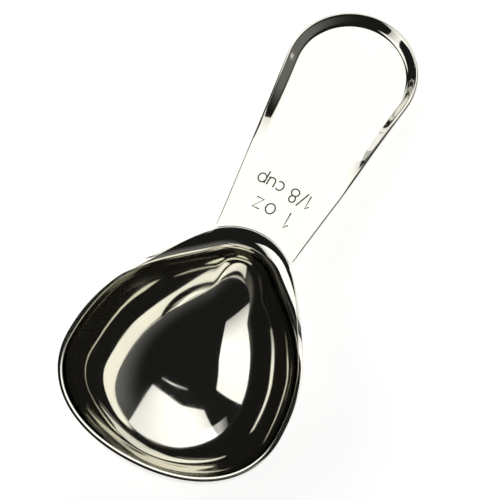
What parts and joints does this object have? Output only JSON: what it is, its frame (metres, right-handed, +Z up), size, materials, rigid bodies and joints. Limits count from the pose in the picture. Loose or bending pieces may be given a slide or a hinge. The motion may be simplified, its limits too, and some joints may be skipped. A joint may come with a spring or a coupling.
{
  "type": "coffee scoop",
  "caption": "Polished steel coffee scoop with a deep pear-shaped bowl and a flat paddle handle with a raised border, for measuring ground coffee.",
  "frame": {"origin": "on the table under the scoop, at the centre of its bounding box in plan", "axes": "+X from the bowl towards the end of the handle, +Z up from the table, XZ the plane of symmetry; the scoop lies as it does on a table, on its bowl and the end of its handle"},
  "size_m": [0.1124, 0.0506, 0.0299],
  "materials": {
    "bowl_steel": "polished",
    "handle_steel": "polished",
    "weld_steel": "polished"
  },
  "bodies": {
    "root": {"bowl": "bowl_steel", "handle": "handle_steel", "neck_weld": "weld_steel"}
  },
  "joints": []
}
